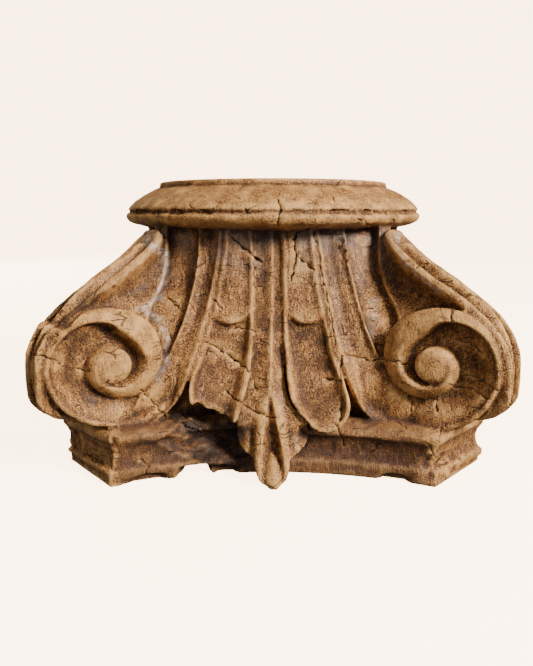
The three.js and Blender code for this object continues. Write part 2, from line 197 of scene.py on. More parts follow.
def half_bell(z, side):
    """Half of a side's relief at rows z: lanes from the middle to the fin, a few columns for each."""
    lines, level = LINES[side], 0 * z
    rim, foot = np.minimum(lines["rim"](z), web_foot(z) - 3), web_foot(z)
    crest = np.clip(lines["crest"](z), rim + 6, foot - 2)
    fade = smooth(z, 84, 112)
    beside = flute_curl(z) - 1.8
    bed, panel = level + FLUTE_BED, PANEL_SUNK * (1 - fade)
    lanes = [
        (level, beside),
        (np.minimum(lines["flute_in"](z) + 0.8, rim - 9), beside),
        (np.minimum(lines["flute_in"](z) + 4, rim - 6.5), bed),
        (rim - 5, bed),
        (rim - 2.2, level - 7.5),
        (rim - 0.9, level + 0.4),
        (rim + 1.6, level + RIM_PROUD),
        (rim + 0.25 * (crest - rim), level - 1.5),
        ((rim + crest) / 2, -3.4 * fade - 6 * (1 - fade)),
        (crest - 3, -1.2 * fade - 8 * (1 - fade)),
        (crest, CREST_PROUD * fade + panel),
        (crest + 2, -6.2 * fade + panel),
        ((crest + foot) / 2, -7.5 - (1 - fade)),
        (foot - 1.6, -9 - (1 - fade)),
        (foot, 1.0 * fade - 12.5 * (1 - fade)),
    ]
    at, rise = (np.stack(rows, 1) for rows in zip(*lanes))
    fine = np.linspace(0, len(lanes) - 1, 6 * len(lanes) + 1)
    low = np.minimum(fine.astype(int), len(lanes) - 2)
    share = fine - low
    ease = share * share * (3 - 2 * share)
    across = at[:, low] * (1 - share) + at[:, low + 1] * share
    lift = rise[:, low] * (1 - ease) + rise[:, low + 1] * ease
    return across, stalk_out(across, z[:, None]) + lift


bell_z = np.linspace(36, 195, 160)
sides = []
for quarter in range(4):
    right = half_bell(bell_z, "right")
    left = half_bell(bell_z, "left" if quarter == 0 else "right")
    across = np.concatenate([-left[0][:, ::-1], right[0][:, 1:]], 1)
    out = np.concatenate([left[1][:, ::-1], right[1][:, 1:]], 1)
    sides.append(quarter_turns(front(across, out, bell_z[:, None]), quarter))
forms.append(loft(np.concatenate(sides, 1)))

# The flutes
# Two on each side, between the stem and the stalks. Each has two rims; a rounded cable fills it down to
# a third of its length, and its foot is a spoon that curls forward over the abacus. One foot is broken off.
CABLE_END = 119.0
CABLE_NOSE = 13.0
FLUTE_FOOT = (38.5, 38.5)
FLUTE_BACK = 18.0
BROKEN_FOOT = (44.0, 60.0)

flute_hollow = curve((38.5, 0), (41, 0.8), (46, 4), (52, 7.2), (62, 9.4), (80, 9.0), (100, 7.4), (114, 6.4),
                     (122, 5), (140, 4.2), (193, 4.2))


def flute(side, foot):
    """Section across the flute carried down the bell: s runs from rim to rim, z down to its foot."""
    s = np.linspace(0, 1, 71)[None, :]
    down = 1 - (1 - np.linspace(0, 1, 170)[:, None]) ** 1.25
    torn = 1.2 * np.sin(9 * s) + 0.9 * np.sin(23 * s + 1) if foot[1] > foot[0] else 0
    z = 195 - (195 - foot[0] - (foot[1] - foot[0]) * s - torn) * down
    inner, outer = LINES[side]["flute_in"](z), LINES[side]["flute_out"](z)
    across = inner + (outer - inner) * s
    near = s * (outer - inner)
    inside = smooth(near, 2.2, 5.5 + 5 * smooth(z, 120, 70)) * smooth(outer - inner - near, 2.4, 6.2)
    slope = -2.2 * smooth(s, 0.8, 1.0) * smooth(z, 190, 90)
    trough = np.clip(1 - np.abs(2 * s - 1) ** 2.6, 0, 1) ** 0.8
    floor = -flute_hollow(z) * (0.25 + 0.75 * trough) * inside
    nose = np.clip((z - CABLE_END) / CABLE_NOSE, 0, 1)
    half = 0.46 * np.sqrt(1 - (1 - nose) ** 2) + 1e-6
    dome = np.clip(1 - np.abs((s - 0.52) / half) ** 2.2, 0, 1) ** 0.5
    cable = np.where(z > CABLE_END, dome, 0) * (flute_hollow(z) - 0.4)
    cable = cable * smooth(z, CABLE_END - 1, CABLE_END + 1)
    out = bell_out(across, z) + flute_curl(z) + floor + cable + slope + 0.6
    wall = [front(across[:, i], out[:, i] - 6, z[:, i]) for i in (-1, 0)]
    middle = bell_out(0.5 * (inner + outer), z) - FLUTE_BACK
    last, first = (front((inner + (outer - inner) * share)[:, i], middle[:, i], z[:, i])
                   for share, i in ((0.85, -1), (0.15, 0)))
    ends = [part[:, None] for part in (wall[0], last, first, wall[1])]
    return np.concatenate([front(across, out, z), *ends], 1)


for quarter in range(4):
    for sign in (1, -1):
        torn_off = quarter == 0 and sign < 0
        side, foot = ("left", BROKEN_FOOT) if torn_off else ("right", FLUTE_FOOT)
        forms.append(loft(quarter_turns(flute(side, foot) * [sign, 1, 1], quarter)))

# The leaves
# The stem runs down the middle of each side as an arris and ends in a leaf over the abacus: two shoulders,
# a split middle lobe and a bud in the split, all left standing from the same wood.
leaf_out = curve((0, 175.5), (4, 176), (10, 174.5), (20, 170.5), (30, 166.5), (40, 162), (52, 156.5),
                 (66, 151), (90, 141.5), (120, 131), (156, 123.5), (195, 119))
split_deep = curve((0, 1), (5, 5), (10, 9), (20, 10), (34, 8.5), (50, 6), (60, 3.5), (68, 0))
split_half = curve((0, 6), (6, 9.4), (14, 9.8), (24, 8.4), (40, 5.6), (55, 3), (68, 1.4))
rib_half = curve((0, 11), (10, 14.5), (20, 14.6), (30, 13), (45, 11.5), (60, 9), (74, 8))
stem_arris = curve((0, -0.6), (60, -3.2), (120, -2.0), (195, -1.2))


def leaf(sides, middle):
    """Section across stem and leaf carried up the side: hollow faces to an arris, split at the foot."""
    z = np.concatenate([np.linspace(0, 74, 120), np.linspace(75, 195, 60)])[:, None]
    s = np.linspace(-1, 1, 71)[None, :]
    low, high = -LINES[sides[0]]["stem"](z), LINES[sides[1]]["stem"](z)
    ridge = np.clip(middle + stem_arris(z) if middle else 0 * z, low + 2, high - 2)
    across = ridge + np.where(s < 0, (ridge - low) * s, (high - ridge) * s)
    away, off = np.abs(s), np.abs(across - ridge)
    in_leaf = smooth(z, 72, 46)
    arris = -7.0 * away**0.75 * (1 - in_leaf)
    split = -split_deep(z) * (1 - smooth(off, 0.35 * split_half(z), split_half(z)))
    rib = -2.6 * np.clip((off - split_half(z)) / (rib_half(z) - split_half(z)), 0, 1) ** 2 * in_leaf
    shoulder = -(2.5 + 3 * smooth(z, 46, 36)) * smooth(off, rib_half(z) - 0.5, rib_half(z) + 3) * in_leaf
    turned = -5.0 * smooth(off, rib_half(z) + 5, rib_half(z) + 14) * smooth(z, 44, 32)
    pointed = (z - 6) / (9 + 8 * smooth(z, 5, 7))
    bud = 9.5 * np.sqrt(np.clip(1 - ((across - ridge) / 6.2) ** 2 - pointed**2, 0, 1))
    out = leaf_out(z) + arris + split + rib + shoulder + turned + bud
    skin = front(across, out, z)
    behind = [front(0.8 * place, leaf_out(z) - 30, z) for place in (high, low)]
    return np.concatenate([skin, *behind], 1)


for quarter in range(4):
    middle = quarter == 0
    sides = ("left", "right") if middle else ("right", "right")
    forms.append(loft(quarter_turns(leaf(sides, middle), quarter)))

# The abacus
# The foot of the block, with hollow sides and cut corners: a fillet on the ground, a cavetto and a second
# fillet with a worn shoulder, on which the volutes stand.
ABACUS_HALF = 178.0
HORN_HALF = 125.5
SIDE_HOLLOW = 28.0
abacus_z = np.array([0, 1, 4, 8, 11, 12.4, 13, 15, 18, 22, 26, 29, 31, 32.4, 33, 34, 36.5, 39.5, 42, 44])
abacus_in = np.array([1.2, 0.2, 0, 0.2, 0.3, 1.2, 3.4, 4.8, 5.8, 6.2, 5.8, 4.8, 4.0, 3.2, 0.8, 0.2, 1.2,
                      4, 8.5, 14])
abacus_in_horn = np.array([1.2, 0.2, 0, 0.2, 0.3, 1.2, 3.0, 4.2, 5.2, 5.6, 5.2, 4.2, 3.2, 2.2, 1.4, 0.8, 0.3,
                           0.6, 3.5, 12])


def abacus_side(losses):
    """Hollow side of the abacus: a parabola across, set in by the profile and by each old loss."""
    z = np.linspace(0, abacus_z[-1], 60)[:, None]
    share = np.linspace(-1, 1, 180)[None, :]
    near_horn = smooth(np.abs(share), 0.5, 0.9)
    sharp = np.interp(z, abacus_z, abacus_in_horn)
    inset = np.interp(z, abacus_z, abacus_in) * (1 - near_horn) + sharp * near_horn
    across = share * (HORN_HALF - 0.4 * inset)
    gone = 0
    for place, height, half_wide, half_high, depth in losses:
        reach = ((across - place) / half_wide) ** 2 + ((z - height) / half_high) ** 2
        ragged = 0.16 * np.sin(0.23 * across + 0.4 * z) + 0.12 * np.sin(0.5 * z - 0.16 * across + place)
        stepped = 1 - 0.6 * smooth(reach + ragged, 0.45, 0.7) - 0.4 * smooth(reach + ragged, 0.9, 1.15)
        gone = np.maximum(gone, depth * stepped)
    return front(across, ABACUS_HALF - SIDE_HOLLOW * (1 - share**2) - inset - gone, z)


FRONT_LOSSES = [(-63, 0, 14, 10, 24), (-50, 35, 35, 21, 13), (-40, 3, 14, 5, 7), (-100, 2, 18, 4, 5),
                (95, 1, 12, 5, 6), (-128, 36, 9, 12, 4), (122, 14, 7, 9, 3)]
RIGHT_LOSSES = [(-125, 0, 10, 6, 3), (40, 1, 16, 5, 6)]
BACK_LOSSES = [(70, 1, 14, 5, 5), (-90, 34, 20, 5, 4)]
LEFT_LOSSES = [(124, 1, 18, 13, 6), (-30, 2, 12, 5, 5)]
abacus_sides = [abacus_side(losses) for losses in (FRONT_LOSSES, RIGHT_LOSSES, BACK_LOSSES, LEFT_LOSSES)]
forms.append(loft(np.concatenate([quarter_turns(abacus_sides[q], q) for q in range(4)], 1)))

# The volutes
# One stands on each corner, with a scroll on both faces. The stalk's rim sweeps round under it and winds in
# to a flat round eye, with a hollow channel inside the rim.
EYE_REACH = 204.0
EYE_HEIGHT = 93.0
EYE_HALF = 30.0
EYE_RADIUS = 14.5
EYE_SHIFT = -3.0
FACE_TAPER = 0.384
ROOT_HALF = math.sqrt(0.5)

scroll_edge = curve((205, 68), (234, 62), (269, 54.7), (303, 50.7), (334, 47.5), (361, 47.4), (386, 46.6),
                    (409, 45.9), (434, 44.8), (458, 44.6), (487, 46.4), (506, 47.6), (524, 47.0),
                    (544, 45), (566, 42), (586, 36.8), (617, 28.6), (636, 25), (659, 22), (686, 19.8),
                    (710, 18), (735, 16.6), (765, 15), (795, 13.6))
scroll_crest = curve((205, 64.5), (234, 58.8), (269, 51.6), (303, 47.8), (334, 45), (361, 44.6),
                     (405, 41.2), (450, 34.5), (473, 29), (500, 27.4), (540, 28), (552, 26.8),
                     (570, 23.8), (594, 20.6), (626, 18.6), (650, 17), (680, 15.4), (712, 14),
                     (750, 12.5), (795, 11))
foot_swell = {"right": curve((205, 4), (215, 5), (230, 5), (246, 2), (275, -0.7), (334, 0)),
              "left": curve((205, -2), (214, -4), (230, -5.8), (250, -5.4), (275, -5), (334, 0))}
edge_drop = curve((205, 1.5), (334, 1.5), (380, 2.5), (430, 5.5), (480, 9), (560, 10), (620, 8), (700, 6),
                  (750, 5))


def corner(along, off, z):
    """Point of the front right corner from its distance along the diagonal and off to its front."""
    along, off, z = np.broadcast_arrays(along, off, z)
    return np.stack([(along - off) * ROOT_HALF, -(along + off) * ROOT_HALF, z], -1)


def on_face(radius, angle, lift, shift=0.0):
    """Point of the volute's front face in polar form about its eye, lifted off the tapering face."""
    along = EYE_REACH + shift + radius * np.cos(np.radians(angle)) / math.hypot(1, FACE_TAPER)
    off = EYE_HALF - FACE_TAPER * (along - EYE_REACH)
    return corner(along, off + lift, EYE_HEIGHT + radius * np.sin(np.radians(angle)))


def scroll_band(side):
    """Rim section carried along the spiral: outer slope, rounded crest, steep wall to the channel.
    The rim's first stretch swells as it does on that side of the block."""
    angle = np.linspace(214, 795, 290)[:, None]
    swell = foot_swell[side](angle)
    edge, crest, drop = scroll_edge(angle) + swell, scroll_crest(angle) + swell, edge_drop(angle)
    s = np.linspace(0, 1, 13)[None, :]
    slope_r = edge + (crest - edge) * s
    slope_lift = -drop * (1 - s) ** 1.6
    w = np.linspace(0, 1, 7)[None, 1:]
    wall_r = crest - 3.2 * np.sin(w * np.pi / 2) * np.ones_like(crest)
    wall_lift = -11.5 * (1 - np.cos(w * np.pi / 2)) * np.ones_like(crest)
    radius = np.concatenate([edge - 5, edge - 0.6, slope_r, wall_r, crest - 3.2], 1)
    lift = np.concatenate([-24 + 0 * edge, -drop - 4, slope_lift, wall_lift, -24 + 0 * edge], 1)
    return on_face(radius, angle, lift, EYE_SHIFT * smooth(angle, 470, 660))


def scroll_face(side):
    """Channel floor: a dish about the eye that rises to the rim, but not where the stalk runs into it."""
    angle = np.linspace(0, 360, 120, endpoint=False)[None, :]
    below = smooth(angle, 195, 235)
    crest = scroll_crest(np.maximum(angle, 205)) + foot_swell[side](np.maximum(angle, 205))
    reach = 43.5 + (crest - 2 - 43.5) * below
    radius = np.linspace(0.01, 1, 24)[:, None] * reach
    rising = 1 - smooth(angle, 60, 110) * smooth(angle, 275, 225)
    return on_face(radius, angle + 0 * radius, -12.0 + 10.0 * smooth(radius, 21, 44) * rising)


def mirror_corner(points):
    """The corner's other face: the two horizontal places change over."""
    return np.stack([-points[..., 1], -points[..., 0], points[..., 2]], -1)


def eye():
    """Boss with a nearly flat top and a rounded edge, turned about the middle of the face."""
    angle = np.linspace(0, 360, 60, endpoint=False)[None, :]
    radius = np.array([EYE_RADIUS, EYE_RADIUS, EYE_RADIUS - 0.5, EYE_RADIUS - 1.8, EYE_RADIUS - 4, 7, 0.01])
    lift = np.array([-24, -5, -1.8, -0.4, 0.5, 1.0, 1.2])
    return on_face(radius[:, None] + 0 * angle, angle, lift[:, None] + 0 * angle, EYE_SHIFT)


boss = eye()
for quarter in range(4):
    faces_here = ("right", "left" if quarter == 3 else "right")
    near, far = scroll_face(faces_here[0]), mirror_corner(scroll_face(faces_here[1]))
    forms.append(loft(quarter_turns(np.concatenate([near, far[::-1]], 0), quarter)))
    bands = scroll_band(faces_here[0]), mirror_corner(scroll_band(faces_here[1]))
    for form in (bands[0], boss, bands[1], mirror_corner(boss)):
        forms.append(loft(quarter_turns(form, quarter)))

# The straps
# A ribbed strap springs from under the disc and folds over each volute, on a fin that is part of the bell.
STRAP_HALF = 15.5
strap_along = curve((0, 141), (0.06, 152), (0.12, 164), (0.25, 189), (0.4, 216), (0.55, 239.5), (0.68, 250.5),
                    (0.8, 253.6), (0.88, 250), (0.95, 239), (1, 222))
strap_rise = curve((0, 193), (0.06, 186.5), (0.12, 179), (0.25, 165), (0.4, 148.5), (0.55, 127),
                   (0.68, 106.5), (0.8, 84), (0.88, 67), (0.95, 53), (1, 46.5))
strap_wide = curve((0, 0.75), (0.04, 0.95), (0.12, 1.05), (0.25, 1.06), (0.42, 1.02), (0.6, 0.9), (0.75, 0.8),
                   (1, 0.6))
strap_round = curve((0, 5), (0.1, 9), (0.25, 11.5), (0.45, 9), (0.6, 5.5), (0.72, 3.5), (1, 3))
strap_bead = curve((0, 0.82), (0.45, 0.82), (0.7, 0.64), (1, 0.6))


def strap():
    """Ribbed section carried over the volute: a broad middle band and a bead along each edge."""
    share = np.linspace(0, 1, 150)[:, None]
    along, rise = strap_along(share), strap_rise(share)
    step = 0.004
    heading = np.arctan2(strap_rise(share + step) - strap_rise(share - step),
                         strap_along(share + step) - strap_along(share - step))
    s = np.linspace(-1, 1, 61)[None, :]
    away = np.abs(s)
    fall = strap_round(share)
    band = -fall * away**1.5
    centre = strap_bead(share)
    groove = -(5.5 + 4.5 * smooth(share, 0.5, 0.1)) * np.exp(-(((away - centre + 0.36) / 0.19) ** 4))
    bead = 3.4 * np.sqrt(np.clip(1 - ((away - centre) / 0.18) ** 2, 0, 1))
    beside = -7.0 * smooth(away, centre + 0.14, centre + 0.22) * smooth(share, 0.45, 0.6)
    sunk_head = -7.0 * smooth(share, 0.085, 0.05) * smooth(away, 0.62, 0.5)
    lift = band + (groove + bead + beside) * smooth(share, 0.98, 0.86) + sunk_head
    off = s * STRAP_HALF * strap_wide(share)
    off = np.concatenate([off, 0.3 * off[:, -1:], 0.3 * off[:, :1]], 1)
    lift = np.concatenate([lift, -fall - 13, -fall - 13], 1)
    return corner(along - lift * np.sin(heading), off, rise + lift * np.cos(heading))


fin_reach = curve((84, 244), (105, 242), (120, 233), (137, 212), (153, 186), (170, 164), (183, 151),
                  (194, 142))
fin_edge = curve((84, 3), (125, 4), (141, 9), (152, 13), (180, 13), (194, 10))


def web():
    """Fin under the strap, row by row: from the bell's corner edge a hollow face runs to the strap."""
    z = np.linspace(84, 194, 90)[:, None]
    foot = web_foot(z)
    root, root_off = (foot + stalk_out(foot, z)) * ROOT_HALF, (stalk_out(foot, z) - foot) * ROOT_HALF
    t = np.linspace(0, 1, 14)[None, :]
    reach = np.maximum(fin_reach(z), root + 3)
    along = root + (reach - root) * t
    hollow = 6.0 * np.sin(np.pi * t**0.8) * smooth(z, 128, 150)
    half = (root_off - 0.4) * (1 - t) + fin_edge(z) * t - hollow
    half = np.where(z < 141, np.minimum(half, EYE_HALF - FACE_TAPER * (along - EYE_REACH) - 13), half)
    here = corner(along, np.maximum(half, 2), z)
    return np.concatenate([here, mirror_corner(here)[:, ::-1]], 1)


fin, ribbon = web(), strap()
for quarter in range(4):
    forms.append(loft(quarter_turns(ribbon, quarter)))
    forms.append(loft(quarter_turns(fin, quarter)))

# The carved block
# All of these forms are one piece of wood, so their skins are joined into one. The joined skin is then
# worn as old wood is: a wavering hand-cut surface, a spalled strap, chips along the lip and dark checks in
# the grain. Marks on its points say where it takes painted shade in its hollows, wear with a painted
# highlight on its crests, dust, a darker abacus with painted shade on its ledges, a pale bleached bloom,
# and rot with painted shade in the recess of the broken foot.
VOXEL = 0.00115
MOST_TRIANGLES = 192000
CRACK_NEAR = 3.2
LIP_CHIP = 2.6
HORN_WEAR = 1.6
SPALL_FOOT = 125.0
SPALL_DEPTH = 3.5
# Waves left by the carver's tools, two all over and two more on the foot: depth, length in mm and seed.
HAND_WAVES = [(0.35, 42, 1), (0.14, 12, 2), (0.35, 24, 3), (0.25, 7, 4)]

points = np.concatenate([form[0] for form in forms]) / 1000
starts = np.cumsum([0] + [len(form[0]) for form in forms[:-1]])
faces = [[number + int(start) for number in face] for form, start in zip(forms, starts) for face in form[1]]


def new_piece(name, verts, polygons):
    """Mesh object at the origin, with its place in its mesh."""
    mesh = bpy.data.meshes.new(name)
    mesh.from_pydata(verts, [], polygons)
    mesh.update()
    piece = bpy.data.objects.new(name, mesh)
    bpy.context.collection.objects.link(piece)
    return piece


def finish_modifiers(piece):
    """Replace the piece's mesh by what its modifiers make of it."""
    made = bpy.data.meshes.new_from_object(piece.evaluated_get(bpy.context.evaluated_depsgraph_get()))
    piece.modifiers.clear()
    piece.data = made


def read_points(piece, field="co"):
    """The piece's points in mm, or their normals."""
    flat = np.empty(len(piece.data.vertices) * 3)
    piece.data.vertices.foreach_get(field, flat)
    return flat.reshape(-1, 3) * (1000 if field == "co" else 1)


def write_points(piece, points_mm):
    """Put an array of points in mm back into the piece."""
    piece.data.vertices.foreach_set("co", (points_mm / 1000).ravel())
    piece.data.update()


def wander(p, size, seed):
    """Smooth random field, mostly -1 to 1: six sine waves of about one size in seeded directions."""
    rng = np.random.default_rng(seed)
    total = 0
    for _ in range(6):
        way = rng.normal(size=3)
        way *= 2 * np.pi / (size * rng.uniform(0.6, 1.5)) / np.linalg.norm(way)
        total = total + np.sin(p @ way + rng.uniform(0, 6.28) + 1.3 * np.sin(p @ np.roll(way, 1)))
    return total / 3.2


block = new_piece("carved_block", points.tolist(), faces)
joined = block.modifiers.new("joined", "REMESH")
joined.mode = "VOXEL"
joined.voxel_size = VOXEL
softened = block.modifiers.new("softened", "SMOOTH")
softened.factor = 0.5
softened.iterations = 1
finish_modifiers(block)

mm, normal = read_points(block), read_points(block, "normal")
z = mm[:, 2]
away = np.hypot(mm[:, 0], mm[:, 1])
at_foot = smooth(z, 52, 30)
wave_1, wave_2, wave_foot, bruise = (depth * wander(mm, length, seed) for depth, length, seed in HAND_WAVES)
sunk = wave_1 + wave_2 + at_foot * wave_foot + at_foot * np.abs(bruise) + 0.3
lip_chips = np.clip(wander(mm * [1, 1, 0.3], 42, 5) + 0.5 * wander(mm, 9, 6) + 0.3 * wander(mm, 3.5, 8), 0, 1)
on_lip = np.exp(-(((z - LIP - 0.6 * wander(mm, 20, 9)) / 1.7) ** 2)) * smooth(away, 132, 137)
sunk += LIP_CHIP * lip_chips * on_lip
horn = smooth(away, 205, 222) * at_foot
sunk += HORN_WEAR * horn * np.clip(wander(mm, 21, 7), 0, 1) * smooth(z, 0.5, 4)
# The strap of the front left corner has split away down to a step half way.
beside_diagonal = np.abs(mm[:, 0] - mm[:, 1]) * ROOT_HALF
spalled = smooth(-mm[:, 0] - mm[:, 1], 270, 290) * smooth(beside_diagonal, 20, 17)
spall_foot = SPALL_FOOT + 1.5 * wander(mm, 30, 11)
sunk += SPALL_DEPTH * spalled * smooth(z, spall_foot - 1, spall_foot + 2) * smooth(z, 170, 130)
mm = mm - normal * (sunk * smooth(z, 0, 2.5) * smooth(z, TOP + 0.1, TOP - 1.5))[:, None]
write_points(block, mm)

# Checks in the wood of the front: half width in pixels of about 0.8 mm, depth in mm, then the places that
# each runs through, as pixels of the photograph.
FRONT_CRACKS = [
    (0.9, 4, [(228, 232), (238, 243), (250, 254), (262, 262)]),
    (0.8, 4, [(297, 232), (294, 240), (296, 255), (294, 266), (292, 280)]),
    (0.6, 3, [(296, 255), (305, 262), (314, 270)]), (0.7, 3, [(297, 234), (306, 231), (313, 230)]),
    (0.5, 1.8, [(344, 231), (347, 255), (351, 277)]), (0.5, 2, [(205, 350), (214, 352)]),
    (0.45, 2.2, [(314.5, 233), (319, 258), (324.6, 285), (330, 312), (336.6, 345)]),
    (0.5, 2, [(254, 232), (254.5, 262), (255, 290)]),
    (0.8, 4, [(341, 355), (340, 380), (342, 402), (340, 420)]), (0.6, 2, [(213, 300), (222, 308)]),
    (0.6, 3, [(199, 341), (210, 344), (228, 355), (240, 364), (250, 372)]),
    (0.6, 3, [(226, 390), (240, 402), (257, 413), (276, 418)]),
    (0.6, 2.5, [(233, 328), (244, 328), (255, 331)]), (0.5, 2, [(274, 305), (271, 313)]),
    (0.6, 3, [(36, 355), (48, 358), (62, 364)]), (0.5, 2.5, [(76, 369), (90, 371)]),
    (0.5, 2.5, [(140, 390), (147, 397)]), (0.6, 3, [(150, 400), (165, 415), (182, 424), (200, 432)]),
    (0.7, 3, [(412, 396), (412, 412)]), (0.5, 2.5, [(437, 397), (437, 412)]),
    (0.7, 3, [(451, 310), (452, 322)]), (0.6, 3, [(440, 428), (440, 442)]),
    (0.6, 2.5, [(345, 355), (370, 360), (392, 360), (410, 365)]),
    (0.6, 3, [(455, 338), (470, 344), (483, 353)]), (0.6, 2.5, [(465, 374), (482, 380), (497, 392)]),
    (0.6, 2.5, [(450, 385), (470, 388), (490, 400)]), (0.6, 2.5, [(325, 379), (339, 381)]),
    (0.6, 3, [(336, 425), (340, 436), (344, 446)]), (0.7, 3, [(279, 200), (280, 212), (278, 226)]),
    (0.5, 2, [(188, 206), (200, 214)]), (0.5, 2, [(330, 195), (337, 203)]),
    (0.5, 2, [(360, 219), (372, 226)]), (0.5, 2, [(232, 194), (240, 200)]),
    (0.6, 2.5, [(200, 256), (205, 263), (196, 268)]), (0.5, 2, [(188, 300), (196, 312)]),
    (0.6, 3, [(180, 412), (196, 424), (210, 434), (226, 440)]),
    (0.6, 3, [(90, 448), (104, 456), (112, 470)]), (0.6, 2.5, [(140, 458), (150, 466), (146, 474)]),
    (0.6, 3, [(428, 444), (436, 458), (446, 462)]), (0.6, 2.5, [(462, 452), (470, 460), (468, 468)]),
    (0.5, 2, [(385, 300), (396, 306)]), (0.5, 2, [(396, 420), (406, 428)]),
    (0.6, 2.5, [(62, 318), (76, 312), (88, 312)]), (0.5, 2.5, [(168, 330), (172, 342)]),
    (0.6, 2, [(174, 354), (180, 356), (185, 355)]), (0.5, 2.5, [(163, 294), (172, 302), (184, 312)]),
    (0.5, 2, [(254, 379), (256, 392)]),
]
# Pale bloom on worn crests and under the disc, and the black rot with painted shade in the recess of the
# broken foot: half width in pixels and strength, then pixels.
FRONT_BLOOM = [(4.5, 0.9, [(146, 241), (166, 254), (165, 276), (157, 300), (141, 309)]),
               (3.5, 0.8, [(141, 309), (158, 318), (168, 338), (167, 360), (158, 378)]),
               (7, 0.5, [(224, 234), (243, 242)]), (6, 0.6, [(300, 236), (313, 240)]),
               (7, 0.7, [(326, 233), (350, 238)]), (4, 0.4, [(374, 300), (370, 335)]),
               (2, 1.0, [(398, 233), (397, 248), (404, 262), (420, 278), (440, 292)])]
FRONT_ROT_AND_RECESS_SHADE = [(24, 2.0, [(188, 420), (222, 428), (238, 440)]), (17, 1.6, [(205, 452), (236, 458)]),
             (9, 0.8, [(140, 440), (180, 450)]), (9, 1.2, [(344, 408), (372, 420)])]
IMAGE_MIDDLE = 333.0


def to_photo(p):
    """Pixel of the photograph that a point in mm falls on, by the camera's pinhole."""
    rel = p / 1000 - CAMERA_PLACE
    c, s = math.cos(CAMERA_DROP), math.sin(CAMERA_DROP)
    depth = rel[:, 1] * c - rel[:, 2] * s
    up = rel[:, 1] * s + rel[:, 2] * c
    right, down = FOCAL_PIXELS * rel[:, 0] / depth, FOCAL_PIXELS * up / depth
    return np.stack([AXIS_PIXEL + right, IMAGE_MIDDLE - down], 1)


def crack_depth(flat, cracks):
    """Depth of the checks below each flat point, and how near it lies: a wavering V of uneven width."""
    deep, near = np.zeros(len(flat)), np.zeros(len(flat), bool)
    crossed = flat[:, ::-1]
    waver = np.sin(flat * 0.55 + 1.7 * np.sin(crossed * 0.31)) * 0.9 + np.sin(crossed * 1.9) * 0.25
    flat = flat + waver
    width = 1 + 0.35 * np.sin(flat[:, 0] * 0.4 + flat[:, 1] * 0.7)
    for half, depth, line in cracks:
        line = np.array(line, float)
        for a, b in zip(line[:-1], line[1:]):
            share = np.clip(((flat - a) @ (b - a)) / ((b - a) @ (b - a)), 0, 1)
            off = np.linalg.norm(flat - a - share[:, None] * (b - a), axis=1)
            near |= off < CRACK_NEAR
            deep = np.maximum(deep, depth * np.clip(1.1 - off / (half * width), 0, 1))
    return deep, near


def other_cracks(seed):
    """Plain checks for a side that the photograph doesn't show, in mm across and up, seeded."""
    rng = np.random.default_rng(seed)
    cracks = []
    for _ in range(26):
        place = np.array([rng.uniform(-150, 150), rng.uniform(8, 190)])
        heading = rng.choice([-0.45, -0.5, -1.45, 0.4]) + rng.normal() * 0.15
        steps = rng.integers(2, 5)
        bends = heading + rng.normal(size=steps) * 0.25
        walk = np.cumsum(rng.uniform(6, 13, steps)[:, None] * np.stack([np.cos(bends), np.sin(bends)], 1), 0)
        cracks.append((rng.uniform(0.5, 0.8), rng.uniform(2, 4), [tuple(place), *map(tuple, place + walk)]))
    return cracks


def seen(p, n):
    """Points on the front that face the camera."""
    return ((n * (p / 1000 - CAMERA_PLACE)).sum(1) < -0.02) & (p[:, 1] < -40)


def all_cracks(p, n):
    """Depth and nearness of every check: the front's by pixel, the other sides' by place."""
    deep, near = np.zeros(len(p)), np.zeros(len(p), bool)
    facing = seen(p, n)
    deep[facing], near[facing] = crack_depth(to_photo(p[facing]), FRONT_CRACKS)
    for quarter in (1, 2, 3):
        own = quarter_turns(p, -quarter)
        mine = (-own[:, 1] > np.abs(own[:, 0])) & (own[:, 1] < -60)
        deep[mine], near[mine] = crack_depth(own[mine][:, [0, 2]], other_cracks(quarter))
    # The seat's checks run outwards: the heading of each, then the distances from the axis of its two ends.
    spokes = []
    for heading, inner, outer in [(0.4, 0, 96), (1.9, 8, 60), (2.9, 0, 107), (4.1, 12, 80), (5.2, 0, 50)]:
        ends = ((inner, heading), (outer, heading + 0.05))
        spokes.append((0.7, 3, [(r * math.cos(a), r * math.sin(a)) for r, a in ends]))
    seat = p[:, 2] > TOP - 7
    seat_deep, seat_near = crack_depth(p[seat][:, :2], spokes)
    deep[seat], near[seat] = np.maximum(deep[seat], seat_deep), near[seat] | seat_near
    return deep, near


def refine_near(piece, chosen):
    """Split the edges whose two ends are chosen, so that the checks have fine sides."""
    fine = bmesh.new()
    fine.from_mesh(piece.data)
    fine.verts.ensure_lookup_table()
    edges = [edge for edge in fine.edges if chosen[edge.verts[0].index] and chosen[edge.verts[1].index]]
    bmesh.ops.subdivide_edges(fine, edges=edges, cuts=1, use_grid_fill=True)
    fine.to_mesh(piece.data)
    fine.free()


deep, near = all_cracks(mm, read_points(block, "normal"))
refine_near(block, near)
mm, normal = read_points(block), read_points(block, "normal")
deep, near = all_cracks(mm, normal)
mm = mm - normal * (deep * smooth(mm[:, 2], 0, 3))[:, None]
low_box, high_box = (np.array(end) * 1000 for end in cad_box)
write_points(block, np.clip(mm, low_box, high_box))

triangles = sum(len(polygon.vertices) - 2 for polygon in block.data.polygons)
thinned = block.modifiers.new("thinned", "DECIMATE")
thinned.ratio = min(1.0, MOST_TRIANGLES / triangles)
finish_modifiers(block)
write_points(block, np.clip(read_points(block), low_box, high_box))
block.data.polygons.foreach_set("use_smooth", [True] * len(block.data.polygons))

# Wear and painted light, worked out on the finished skin: how hollow or how proud each point is of its
# neighbours. Hollows take painted shade, and proud points take wear with a painted highlight.
mm, normal = read_points(block), read_points(block, "normal")
pairs = np.empty(len(block.data.edges) * 2, int)
block.data.edges.foreach_get("vertices", pairs)
pairs = pairs.reshape(-1, 2)
links = np.bincount(pairs.ravel(), minlength=len(mm))[:, None]


